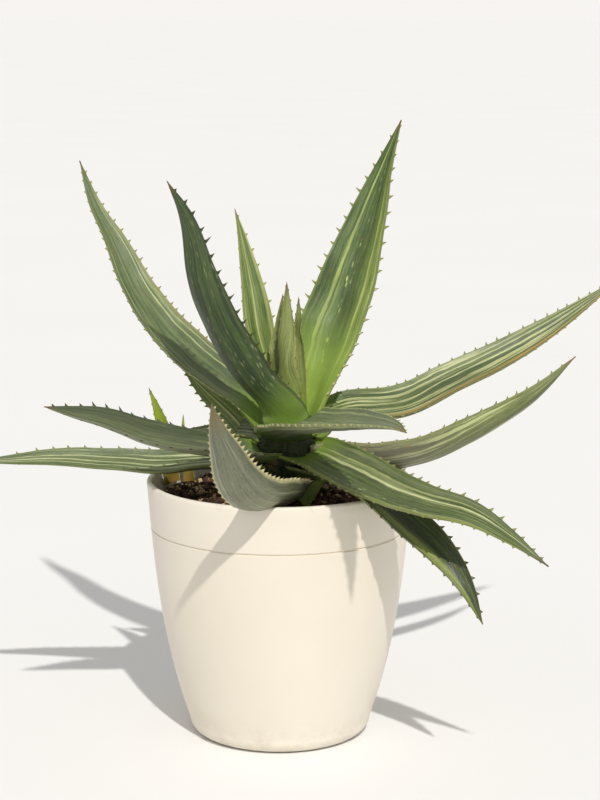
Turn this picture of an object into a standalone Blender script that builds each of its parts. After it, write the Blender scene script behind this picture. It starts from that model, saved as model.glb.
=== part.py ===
"""A potted aloe: a tapered pot full of soil, a short stem, and a rosette of channelled leaves.

Metres, +Z up. The origin is the middle of the pot's underside. The tables of the leaves are in
millimetres, which is how they were laid out.
"""

import math
from typing import NamedTuple

import bmesh
import bpy
from mathutils import Matrix

MM = 0.001
GAP = 0.3 * MM

# Pot: a turned wall that leans and bows in towards its foot.
RIM_RADIUS = 70 * MM
POT_HEIGHT = 137 * MM
WALL = 3.2 * MM
WALL_LEAN = 0.075
WALL_BOW = 5.5
FOOT_ROUND = 8 * MM
FLOOR_TOP = 6 * MM
GROOVE_Z = 112 * MM
GROOVE_DEPTH = 0.7 * MM
GROOVE_WIDTH = 1.4 * MM
POT_STEPS = 60

# Underside: three drain channels that open as small arches in the foot, each with a hole.
DRAINS = 3
DRAIN_FIRST_TURN = math.radians(-30)
CHANNEL_HEIGHT = 2.4 * MM
CHANNEL_WIDTH = 5 * MM
HOLE_RADIUS = 3.2 * MM
HOLE_AT = 24 * MM

# Soil and stem.
SOIL_EDGE_Z = 126 * MM
SOIL_CROWN_Z = SOIL_EDGE_Z + 4 * MM
STEM_AT = (4 * MM, 0)
STEM_RADIUS = 17 * MM
STEM_TOP_Z = 168 * MM
STEM_WIDEST_Z = 146 * MM

# Leaf form, as shares of the leaf's length and half width.
WIDEST_AT = 0.25
TIP_SHARE = 0.03
ROUTE_RESOLUTION = 3
SWELL = 0.45


class Leaf(NamedTuple):
    """A blade: its widest width in mm, and its channel and thickness as shares of its half width.

    The route runs from root to tip: (x, y, z) in mm and the blade's turn about its own length in
    degrees, where 0 holds the blade level from side to side.
    """

    width: float
    channel: float
    thickness: float
    route: list
    base: float = 1.1
    taper: float = 1.5


# From the heart of the rosette outwards.
LEAVES = {
    "bud_front_leaf": Leaf(13, 0.34, 0.26, [
        (5, -2, 171, 10), (5, -3, 190, 5), (4, -4, 208, 0), (4, -5, 226, 0), (4, -6, 242, 0)]),
    "bud_left_leaf": Leaf(11, 0.34, 0.30, [
        (2, 4, 173, -30), (0, 6, 190, -20), (-1, 7, 207, -10), (0, 8, 221, 0), (2, 9, 234, 0)]),
    "bud_right_leaf": Leaf(10, 0.34, 0.30, [
        (9, 3, 173, 0), (9, 5, 190, 5), (9, 7, 207, 10), (10, 8, 221, 5), (10, 9, 232, 0)]),
    "slim_back_leaf": Leaf(18, 0.30, 0.26, [
        (2, 10, 177, -28), (-1, 12, 188, -28), (-9, 16, 209, -10), (-15, 24, 239, -15),
        (-21, 31, 265, -10), (-24, 33, 276, -10)]),
    "tall_right_leaf": Leaf(35, 0.42, 0.20, [
        (11, 4, 171, 0), (19, 10, 195, 12), (27, 17, 216, 26), (35, 24, 236, 31), (42, 31, 257, 28),
        (48, 36, 275, 24), (54, 41, 293, 16), (65, 48, 322, 12)], base=0.8, taper=1.6),
    "upright_left_leaf": Leaf(22, 0.34, 0.24, [
        (4, -9, 168, 60), (1, -11, 177, 50), (-14, -15, 196, 44), (-29, -23, 223, 36),
        (-38, -30, 246, 44), (-46, -40, 279, 52), (-55, -45, 297, 52)], taper=1.8),
    "upper_left_leaf": Leaf(26, 0.26, 0.24, [
        (-3, 2, 169, -25), (-12, 6, 178, -25), (-30, 13, 189, -23), (-58, 31, 210, -22),
        (-76, 47, 231, -16), (-91, 64, 257, -16), (-102, 73, 275, -20), (-111, 82, 298, -20)]),
    "short_front_leaf": Leaf(29, 0.24, 0.26, [
        (4, -8, 166, 5), (5, -20, 171, 8), (9, -36, 176, 12), (19, -61, 181, 12), (32, -87, 186, 14),
        (45, -115, 190, 15), (54, -137, 192, 15), (59, -155, 192, 15)], base=1.2),
    "upper_right_leaf": Leaf(26, 0.26, 0.26, [
        (12, 4, 163, 20), (20, 11, 167, 20), (37, 16, 172, 25), (66, 25, 174, 25), (93, 34, 185, 28),
        (120, 43, 196, 38), (146, 52, 209, 50), (169, 59, 223, 55), (188, 64, 236, 55)]),
    "rear_left_leaf": Leaf(22, 0.28, 0.28, [
        (1, 8, 158, 0), (-6, 24, 161, 0), (-16, 44, 161, 0), (-30, 76, 152, 0), (-40, 102, 136, 0)]),
    "rear_right_leaf": Leaf(24, 0.28, 0.28, [
        (8, 7, 155, 0), (16, 24, 160, 0), (26, 48, 163, 0), (37, 82, 160, 0), (46, 116, 148, 0)]),
    "front_right_leaf": Leaf(27, 0.26, 0.26, [
        (9, -6, 155, 10), (17, -15, 155, 18), (33, -39, 152, 27), (51, -64, 148, 28),
        (71, -87, 145, 35), (93, -103, 142, 48), (110, -115, 134, 60), (128, -127, 122, 55)]),
    "striped_left_leaf": Leaf(20, 0.24, 0.28, [
        (-2, 4, 157, -8), (-9, 9, 160, -10), (-20, 15, 161, -20), (-38, 26, 156, -27),
        (-54, 35, 153, -27), (-68, 42, 151, -27)]),
    "back_left_leaf": Leaf(18, 0.28, 0.28, [
        (0, 8, 150, 0), (-13, 14, 155, -5), (-24, 22, 165, -15), (-36, 31, 174, -35),
        (-45, 38, 181, -48), (-54, 44, 190, -50)]),
    "lower_right_leaf": Leaf(24, 0.26, 0.30, [
        (12, 0, 149, -30), (22, 4, 149, -37), (49, 8, 147, -42), (75, 19, 148, -50),
        (96, 28, 154, -65), (120, 38, 164, -74), (138, 47, 173, -85), (163, 60, 192, -85)]),
    "left_leaf": Leaf(22, 0.28, 0.34, [
        (-3, -4, 154, -10), (-14, -16, 157, -12), (-35, -32, 163, -15), (-64, -48, 171, -34),
        (-86, -62, 181, -48), (-102, -72, 186, -55), (-114, -80, 190, -55)], taper=2.0),
    "low_left_leaf": Leaf(20, 0.24, 0.28, [
        (-3, -1, 146, -10), (-14, -4, 148, -12), (-39, -6, 149, -14), (-60, -6, 147, -27),
        (-86, -6, 148, -32), (-115, -5, 149, -45), (-147, -4, 147, -60), (-163, -3, 146, -60)]),
    "drooping_leaf": Leaf(22, 0.28, 0.26, [
        (10, -6, 146, 0), (20, -17, 147, 5), (33, -36, 147, 5), (47, -54, 143, 8), (67, -71, 129, 30),
        (82, -83, 116, 52), (91, -90, 104, 52), (100, -98, 85, 45)], taper=2.4),
    "curled_front_leaf": Leaf(27, 0.28, 0.24, [
        (5, -11, 138, 5), (6, -25, 138, 12), (3, -42, 139, 28), (-3, -58, 142, 34),
        (-12, -82, 148, 35), (-20, -106, 162, 30), (-24, -127, 178, 25), (-27, -144, 192, 20),
        (-29, -158, 206, 20)], base=0.55, taper=2.0),
    "left_pup_tall_leaf": Leaf(10, 0.24, 0.30, [
        (-58, 24, 128.5, -90), (-59, 23, 142, -95), (-61, 22, 153, -100), (-65, 20, 168, -95),
        (-70, 19, 182, -95)]),
    "left_pup_short_leaf": Leaf(6, 0.24, 0.40, [
        (-49, 27, 128.7, -60), (-50, 28, 142, -60), (-52, 28, 155, -60), (-52, 27, 166, -60)]),
    "front_pup_leaf": Leaf(6, 0.24, 0.40, [
        (12, -37, 131.5, 50), (15, -34, 134, 52), (18, -32, 138, 55), (27, -28, 146, 57)]),
}

LEAF_COLOUR = (0.10, 0.20, 0.06)
POT_COLOUR = (0.83, 0.79, 0.68)
SOIL_COLOUR = (0.05, 0.03, 0.02)
STEM_COLOUR = (0.20, 0.17, 0.08)


def clear_scene():
    for old in list(bpy.data.objects):
        bpy.data.objects.remove(old)


def new_collection(name):
    collection = bpy.data.collections.new(name)
    bpy.context.scene.collection.children.link(collection)
    return collection


def material(name, colour, roughness):
    made = bpy.data.materials.new(name)
    made.use_nodes = True
    shader = made.node_tree.nodes["Principled BSDF"]
    shader.inputs["Base Color"].default_value = (*colour, 1)
    shader.inputs["Roughness"].default_value = roughness
    return made


def add_object(name, data, collection, finish=None):
    made = bpy.data.objects.new(name, data)
    collection.objects.link(made)
    if finish:
        data.materials.append(finish)
    return made


def evaluated_mesh(thing):
    graph = bpy.context.evaluated_depsgraph_get()
    graph.update()
    return bpy.data.meshes.new_from_object(thing.evaluated_get(graph))


def shade_round(mesh):
    mesh.shade_smooth()
    mesh.set_sharp_from_angle(angle=math.radians(40))


def arc(centre, radius, start, end, points):
    """Points of an arc in the profile plane, with its angles in degrees."""
    turns = [math.radians(start + (end - start) * i / (points - 1)) for i in range(points)]
    return [(centre[0] + radius * math.cos(t), centre[1] + radius * math.sin(t)) for t in turns]


def wall_radius(z):
    """The outer radius of the pot's wall at a height."""
    drop = POT_HEIGHT - z
    return RIM_RADIUS - WALL_LEAN * drop - WALL_BOW * drop**3


def turned(name, profile, collection, finish, steps):
    """A solid of revolution about Z, from a profile that starts and ends on the axis."""
    mesh = bpy.data.meshes.new(name)
    edges = [(i, i + 1) for i in range(len(profile) - 1)]
    mesh.from_pydata([(r, 0, z) for r, z in profile], edges, [])
    made = add_object(name, mesh, collection)
    screw = made.modifiers.new("turn", "SCREW")
    screw.steps = screw.render_steps = steps
    screw.use_merge_vertices = True
    screw.merge_threshold = 1e-5
    solid = evaluated_mesh(made)
    solid.name = name
    made.modifiers.clear()
    made.data = solid
    solid.materials.append(finish)
    shade_round(solid)
    return made


def pot_outside():
    """The outer profile from the lip down to the middle of the underside."""
    lip = WALL / 2
    top = arc((RIM_RADIUS - lip, POT_HEIGHT - lip), lip, 90, 0, 4)
    above = [(wall_radius(z), z) for z in (130 * MM, 121 * MM)]
    half = GROOVE_WIDTH / 2
    groove = [
        (wall_radius(GROOVE_Z + half), GROOVE_Z + half),
        (wall_radius(GROOVE_Z) - GROOVE_DEPTH, GROOVE_Z),
        (wall_radius(GROOVE_Z - half), GROOVE_Z - half),
    ]
    below = [(wall_radius(z), z) for z in (96 * MM, 80 * MM, 64 * MM, 48 * MM, 32 * MM, 18 * MM)]
    foot_r = wall_radius(FOOT_ROUND) - FOOT_ROUND
    foot = arc((foot_r, FOOT_ROUND), FOOT_ROUND, 0, -90, 5)
    return top + above + groove + below + foot + [(0, 0)]


def make_pot(collection, cutters, finish):
    lip = WALL / 2
    inside = [(0, FLOOR_TOP), (wall_radius(FLOOR_TOP) - WALL - 4 * MM, FLOOR_TOP)]
    inside += [(wall_radius(z) - WALL, z) for z in (12 * MM, 32 * MM, 64 * MM, 96 * MM, 128 * MM)]
    inside += arc((RIM_RADIUS - lip, POT_HEIGHT - lip), lip, 180, 120, 3)
    pot = turned("pot", inside + pot_outside(), collection, finish, POT_STEPS)
    for number in range(DRAINS):
        turn = DRAIN_FIRST_TURN + number * math.tau / DRAINS
        channel = drain_channel(f"channel_{number}", turn, cutters)
        hole = drain_hole(f"hole_{number}", turn, cutters)
        cut(pot, channel)
        cut(pot, hole)
    shade_round(pot.data)
    return pot


def drain_channel(name, turn, cutters):
    """A tunnel with a round roof, lying half below the pot's underside."""
    bm = bmesh.new()
    length = 40 * MM
    bmesh.ops.create_cone(
        bm, cap_ends=True, segments=16, radius1=CHANNEL_WIDTH / 2, radius2=CHANNEL_WIDTH / 2, depth=length
    )
    return cutter_from(bm, name, cutters, (HOLE_AT + length / 2, CHANNEL_HEIGHT - CHANNEL_WIDTH / 2), turn)


def drain_hole(name, turn, cutters):
    bm = bmesh.new()
    bmesh.ops.create_cone(
        bm, cap_ends=True, segments=20, radius1=HOLE_RADIUS, radius2=HOLE_RADIUS, depth=30 * MM
    )
    return cutter_from(bm, name, cutters, (HOLE_AT, 0), turn, upright=True)


def cutter_from(bm, name, cutters, at, turn, upright=False):
    """Lays a cylinder along the radius at this turn, or stands it there, as a cutter."""
    mesh = bpy.data.meshes.new(name)
    bm.to_mesh(mesh)
    bm.free()
    made = add_object(name, mesh, cutters)
    made.location = (at[0] * math.cos(turn), at[0] * math.sin(turn), at[1])
    made.rotation_euler = (0, 0 if upright else math.pi / 2, turn)
    return as_cutter(made)


def as_cutter(thing):
    thing.hide_render = True
    thing.display_type = "WIRE"
    return thing


def cut(thing, cutter):
    """Subtracts the cutter and keeps the largest piece, so that no crumb is left."""
    finish = thing.data.materials[0]
    boolean = thing.modifiers.new("cut", "BOOLEAN")
    boolean.operation = "DIFFERENCE"
    boolean.solver = "EXACT"
    boolean.object = cutter
    mesh = evaluated_mesh(thing)
    thing.modifiers.remove(boolean)
    bm = bmesh.new()
    bm.from_mesh(mesh)
    bmesh.ops.dissolve_degenerate(bm, dist=0.01 * MM, edges=bm.edges)
    pieces = sorted(islands(bm), key=len)
    crumbs = [vert for piece in pieces[:-1] for vert in piece]
    bmesh.ops.delete(bm, geom=crumbs, context="VERTS")
    bmesh.ops.triangulate(bm, faces=bm.faces)
    bm.to_mesh(mesh)
    bm.free()
    mesh.materials.clear()
    mesh.materials.append(finish)
    thing.data = mesh


def islands(bm):
    """The connected groups of vertices."""
    left = set(bm.verts)
    while left:
        group, reached = set(), [left.pop()]
        while reached:
            vert = reached.pop()
            group.add(vert)
            near = {edge.other_vert(vert) for edge in vert.link_edges} & left
            left -= near
            reached += near
        yield group


def soil_top(lift=0.0):
    """The crowned top of the soil, from the axis to its edge."""
    crown = [(0, 4), (25, 3.2), (48, 1.2), (wall_radius(SOIL_EDGE_Z) / MM - 3.8, 0)]
    return [(r * MM, SOIL_EDGE_Z + rise * MM + lift) for r, rise in crown]


def make_soil(collection, finish):
    """A plug of soil that stands clear of the pot's wall and floor."""
    reach = WALL + 2 * GAP
    side = [(wall_radius(z) - reach, z) for z in (96 * MM, 64 * MM, 32 * MM, 12.5 * MM)]
    foot = [(wall_radius(FLOOR_TOP) - reach - 4.3 * MM, FLOOR_TOP + GAP), (0, FLOOR_TOP + GAP)]
    return turned("soil", soil_top() + side + foot, collection, finish, 40)


def make_stem(collection, finish, swell=0.0, name="stem"):
    """The short stem with the sheaths round it, widest where most leaves leave it."""
    low = SOIL_CROWN_Z + GAP - swell
    shoulder = 0.95 * (STEM_TOP_Z - STEM_WIDEST_Z)
    profile = [(0, STEM_TOP_Z + swell), (STEM_RADIUS * 0.3 + swell, STEM_TOP_Z + swell)]
    for turn in (math.radians(angle) for angle in (65, 45, 22, 0)):
        profile.append((STEM_RADIUS * math.cos(turn) + swell, STEM_WIDEST_Z + shoulder * math.sin(turn)))
    profile += [(STEM_RADIUS * 0.8 + swell, low), (0, low)]
    stem = turned(name, profile, collection, finish, 24)
    stem.data.transform(Matrix.Translation((*STEM_AT, 0)))
    return stem


def width_share(leaf, along):
    """The blade's width at a share of its length, as a share of its widest width."""
    if along < WIDEST_AT:
        return leaf.base + (1 - leaf.base) * math.sin(math.pi / 2 * along / WIDEST_AT)
    return max(TIP_SHARE, 1 - ((along - WIDEST_AT) / (1 - WIDEST_AT)) ** leaf.taper)


def leaf_section(name, leaf, swell, cutters):
    """The crescent across a blade, one millimetre in half width: a channel above, a keel below.

    A swollen section stands clear of the blade all round and has blunt edges.
    """
    keel = leaf.channel + leaf.thickness
    upper = [(x, -leaf.channel * (1 - x * x) + swell) for x in (-0.5, 0, 0.5)]
    lower = [(x, -keel * (1 - x * x) - swell) for x in (0.75, 0.3, -0.3, -0.75)]
    left, right = [(-1, 0)], [(1, 0)]
    if swell:
        left = [(-1 - swell, -swell), (-1 - swell, swell)]
        right = [(1 + swell, swell), (1 + swell, -swell)]
    outline = left + upper + right + lower
    curve = bpy.data.curves.new(name, "CURVE")
    curve.dimensions = "2D"
    spline = curve.splines.new("POLY")
    spline.points.add(len(outline) - 1)
    spline.use_cyclic_u = True
    for point, (x, y) in zip(spline.points, outline):
        point.co = (x * MM, y * MM, 0, 1)
    return as_cutter(add_object(name, curve, cutters))


def leaf_curve(name, leaf, swell, collection, cutters):
    """The blade as a curve that carries its crescent, kept level by Z-up and turned by its tilts."""
    curve = bpy.data.curves.new(name, "CURVE")
    curve.dimensions = "3D"
    curve.twist_mode = "Z_UP"
    curve.resolution_u = ROUTE_RESOLUTION
    curve.use_fill_caps = True
    curve.bevel_mode = "OBJECT"
    curve.bevel_object = leaf_section(f"{name}_section", leaf, swell / (leaf.width / 2), cutters)
    steps = [math.dist(a[:3], b[:3]) for a, b in zip(leaf.route, leaf.route[1:])]
    spline = curve.splines.new("BEZIER")
    spline.bezier_points.add(len(leaf.route) - 1)
    for number, (point, (x, y, z, turn)) in enumerate(zip(spline.bezier_points, leaf.route)):
        point.co = (x * MM, y * MM, z * MM)
        point.handle_left_type = point.handle_right_type = "AUTO"
        point.tilt = math.radians(turn)
        point.radius = leaf.width / 2 * width_share(leaf, sum(steps[:number]) / sum(steps))
    return add_object(name, curve, collection)


def leaf_solid(name, leaf, collection, cutters, swell=0.0):
    """The leaf's curve made a mesh, with its caps welded on."""
    guide = leaf_curve(name, leaf, swell, collection, cutters)
    mesh = evaluated_mesh(guide)
    bpy.data.objects.remove(guide)
    bm = bmesh.new()
    bm.from_mesh(mesh)
    bmesh.ops.remove_doubles(bm, verts=bm.verts, dist=0.001 * MM)
    bmesh.ops.recalc_face_normals(bm, faces=bm.faces)
    bmesh.ops.triangulate(bm, faces=bm.faces)
    bm.to_mesh(mesh)
    bm.free()
    return add_object(name, mesh, collection)


def boxes_meet(one, other):
    def limits(thing):
        places = [vert.co for vert in thing.data.vertices]
        return [(min(p[i] for p in places), max(p[i] for p in places)) for i in range(3)]

    pairs = zip(limits(one), limits(other))
    return all(low <= other_high and other_low <= high for (low, high), (other_low, other_high) in pairs)


def make_leaves(collection, cutters, finish, neighbours):
    """Each leaf is cut back where it clasps the stem, lies on the rim or meets an inner leaf."""
    rooms = list(neighbours)
    for name, leaf in LEAVES.items():
        blade = leaf_solid(name, leaf, collection, cutters)
        blade.data.materials.append(finish)
        for room in rooms:
            if boxes_meet(blade, room):
                cut(blade, room)
        shade_round(blade.data)
        rooms.append(as_cutter(leaf_solid(f"{name}_room", leaf, cutters, cutters, SWELL)))


def pot_and_soil_room():
    """What the leaves stay clear of: the soil's top, the lip and the wall, swollen by the gap."""
    lip = WALL / 2
    crown = arc((RIM_RADIUS - lip, POT_HEIGHT - lip), lip + GAP, 180, 0, 7)
    wall = [(wall_radius(z) + GAP, z) for z in (128 * MM, 96 * MM, 68 * MM)]
    return [*soil_top(GAP), *crown, *wall, (0, 68 * MM)]


def main():
    clear_scene()
    parts = new_collection("potted_aloe")
    cutters = new_collection("cutters")
    leaf_finish = material("leaf", LEAF_COLOUR, 0.45)
    pot_finish = material("pot", POT_COLOUR, 0.5)
    soil_finish = material("soil", SOIL_COLOUR, 0.95)
    stem_finish = material("stem", STEM_COLOUR, 0.8)
    make_pot(parts, cutters, pot_finish)
    make_soil(parts, soil_finish)
    make_stem(parts, stem_finish)
    stem_room = as_cutter(make_stem(cutters, stem_finish, GAP, "stem_room"))
    pot_room = as_cutter(turned("pot_room", pot_and_soil_room(), cutters, pot_finish, POT_STEPS))
    make_leaves(parts, cutters, leaf_finish, [stem_room, pot_room])


main()
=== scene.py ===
"""The looks of a potted aloe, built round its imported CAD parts.

Metres, +Z up; the leaves' routes are in millimetres. Each leaf is modelled straight along X, as a
grid rolled into a blade with teeth drawn out of its margins, and is then bent along its route.
"""

import math
import random
from typing import NamedTuple

import bpy
import numpy as np
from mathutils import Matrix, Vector, noise


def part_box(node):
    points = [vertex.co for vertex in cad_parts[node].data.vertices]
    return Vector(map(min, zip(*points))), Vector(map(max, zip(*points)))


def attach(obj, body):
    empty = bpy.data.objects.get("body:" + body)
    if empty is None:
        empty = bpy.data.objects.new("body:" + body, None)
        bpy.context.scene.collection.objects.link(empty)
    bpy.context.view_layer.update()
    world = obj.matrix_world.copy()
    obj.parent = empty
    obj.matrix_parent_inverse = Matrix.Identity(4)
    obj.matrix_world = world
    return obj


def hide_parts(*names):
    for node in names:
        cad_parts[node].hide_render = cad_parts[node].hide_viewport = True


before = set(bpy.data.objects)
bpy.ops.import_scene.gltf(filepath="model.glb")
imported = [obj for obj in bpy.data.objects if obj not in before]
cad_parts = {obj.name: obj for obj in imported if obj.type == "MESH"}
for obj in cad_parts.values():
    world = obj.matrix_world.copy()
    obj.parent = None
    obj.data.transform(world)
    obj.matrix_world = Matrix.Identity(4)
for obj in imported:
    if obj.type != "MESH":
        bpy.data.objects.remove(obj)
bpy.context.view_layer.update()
pot_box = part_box("pot")
stem_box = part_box("stem")

MM = 0.001
# The decimal places of a metre that keep a tenth of a millimetre.
TENTH_MM_PLACES = 4

# Pot, as in the CAD: a turned wall that leans and bows in towards its foot.
RIM_RADIUS = round(pot_box[1].x, TENTH_MM_PLACES)
POT_HEIGHT = round(pot_box[1].z, TENTH_MM_PLACES)
WALL = 3.2 * MM
WALL_LEAN = 0.075
WALL_BOW = 5.5
FOOT_ROUND = 8 * MM
FLOOR_TOP = 6 * MM
GROOVE_Z = 112 * MM
GROOVE_DEPTH = 0.8 * MM
GROOVE_WIDTH = 1.3 * MM
POT_SEGMENTS = 144
DRAINS = 3
DRAIN_FIRST_TURN = math.radians(-30)
CHANNEL_HEIGHT = 2.4 * MM
CHANNEL_WIDTH = 5 * MM
CHANNEL_LENGTH = 40 * MM
HOLE_RADIUS = 3.2 * MM
HOLE_AT = 24 * MM
HOLE_DEPTH = 30 * MM

# Soil: its crown's heights above the edge, in mm, at radii in mm.
SOIL_EDGE_Z = 126 * MM
SOIL_GAP = 3.8 * MM
CROWN_RADII = (0, 25, 48)
CROWN_HEIGHTS = (4, 3.2, 1.2)
LUMP_COARSE = 0.9 * MM
LUMP_FINE = 0.45 * MM
GRAIN_EDGE_GAP = 5.5 * MM
GRAIN_STEM_GAP = 2 * MM

# Stem: a dome whose low end stands in the soil, under overlapping sheaths.
STEM_AT = Vector((round((stem_box[0].x + stem_box[1].x) / 2, TENTH_MM_PLACES), 0, 0))
STEM_RADIUS = round((stem_box[1].x - stem_box[0].x) / 2, TENTH_MM_PLACES)
STEM_TOP_Z = round(stem_box[1].z, TENTH_MM_PLACES)
STEM_WIDEST_Z = 146 * MM
STEM_LOW_Z = 127 * MM
SHEATH_PITCH = 7.5 * MM
SHEATH_STARTS = 2
SHEATH_SWELL = 0.085
SHEATH_RIBS = 26
RIB_SWELL = 0.012
BARK_SWELL = 0.03

# Blade form, as shares of the leaf's length and half width.
WIDEST_AT = 0.25
TIP_SHARE = 0.03
RING_PITCH = 0.95 * MM
HALF_STEPS = 12
EDGE_HALF = 0.28 * MM
EDGE_SHARE = 0.035
KEEL_FOLD = 2.3
RIPPLE_SHARE = 0.045


def tint(red, green, blue):
    """A colour picked on the 0 to 255 scale, made linear."""
    shares = [c / 255 for c in (red, green, blue)]
    return tuple(c / 12.92 if c <= 0.04045 else ((c + 0.055) / 1.055) ** 2.4 for c in shares)


PALE = tint(196, 204, 142)
CREAM = tint(206, 198, 150)
DARK = tint(44, 60, 26)
DRY = tint(198, 158, 84)
DARK_TEETH = tint(58, 46, 26)


class Look(NamedTuple):
    """A leaf's skin.

    Lines run the blade's length: (place across, half width, strength, colour). Flecks lie in a band:
    (strength, place across, half width). Across goes from 1, the left margin, to -1.
    """

    body: tuple = tint(98, 118, 58)
    shade: tuple = tint(44, 64, 26)
    pale: tuple = PALE
    under: tuple = tint(84, 102, 56)
    under_shade: tuple = tint(54, 70, 34)
    heart: tuple = tint(120, 150, 52)
    heart_reach: float = 0.18
    stripes: float = 0.7
    under_stripes: float = 0.2
    stripe_count: float = 6
    lines: tuple = ()
    flecks: tuple = (0.0, 0.0, 1.0)
    under_flecks: float = 0.3
    bloom: float = 0.12
    edge: tuple = tint(150, 158, 92)
    edge_strength: float = 0.4
    tip: tuple = tint(112, 82, 48)
    tip_reach: float = 0.05
    tooth_base: tuple = tint(138, 142, 82)
    tooth_tip: tuple = tint(96, 66, 38)
    spots: float = 0.3


class Leaf(NamedTuple):
    """A blade: its widest width in mm, and its channel and thickness as shares of its half width.

    The route runs from root to tip: (x, y, z) in mm and the blade's turn about its own length in
    degrees, where 0 holds the blade level from side to side. Teeth are (length mm, pitch mm), and
    margins say how large they are on the left and right margin.
    """

    width: float
    channel: float
    thickness: float
    route: list
    base: float = 1.1
    taper: float = 1.5
    fold: float = 2.0
    teeth: tuple = (2.4, 6.5)
    margins: tuple = (1, 1)
    look: Look = Look()


BUD = Look(
    # The bud's pale colours are painted light: they are brightened to look sunlit where the leaves beside it
    # shade it.
    body=tint(158, 170, 98), shade=tint(124, 136, 72), under=tint(162, 174, 102),
    under_shade=tint(126, 136, 76), stripes=0.3, stripe_count=9, heart=tint(140, 166, 66),
    heart_reach=0.4, under_flecks=0.1, tip=tint(104, 78, 62), tip_reach=0.12, bloom=0.05,
    spots=0.0, edge=tint(160, 150, 96),
)
PUP = Look(
    body=tint(182, 198, 74), shade=tint(150, 172, 54), under=tint(188, 202, 84),
    under_shade=tint(160, 180, 60), heart=tint(142, 108, 54), heart_reach=0.4, stripes=0.15,
    under_stripes=0.1, under_flecks=0.0, tip=tint(58, 50, 34), tip_reach=0.1, bloom=0.0,
    edge=tint(206, 208, 120), spots=0.0,
)
STRIPED = Look(
    body=tint(124, 138, 90), shade=tint(84, 102, 58), pale=tint(202, 208, 162), stripes=0.85, stripe_count=5,
    under=tint(124, 136, 92), under_shade=tint(88, 104, 62), under_stripes=0.85,
    lines=((0.1, 0.07, 0.9, None), (0.45, 0.06, 0.8, None), (-0.3, 0.05, 0.7, None)),
)
GLAUCOUS = Look(
    body=tint(104, 112, 72), shade=tint(78, 90, 54), under=tint(124, 126, 98), under_shade=tint(88, 96, 70),
    pale=tint(172, 174, 138), stripes=0.4, under_stripes=0.6, stripe_count=12, bloom=0.3, edge=CREAM,
    edge_strength=0.55, under_flecks=0.35, tooth_base=CREAM, tooth_tip=tint(150, 122, 74),
    # The near-black heart is painted shade over the root third of the curled front leaf.
    heart=tint(38, 46, 26), heart_reach=0.34, tip=tint(122, 108, 66), tip_reach=0.16, spots=0.0,
)

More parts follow.
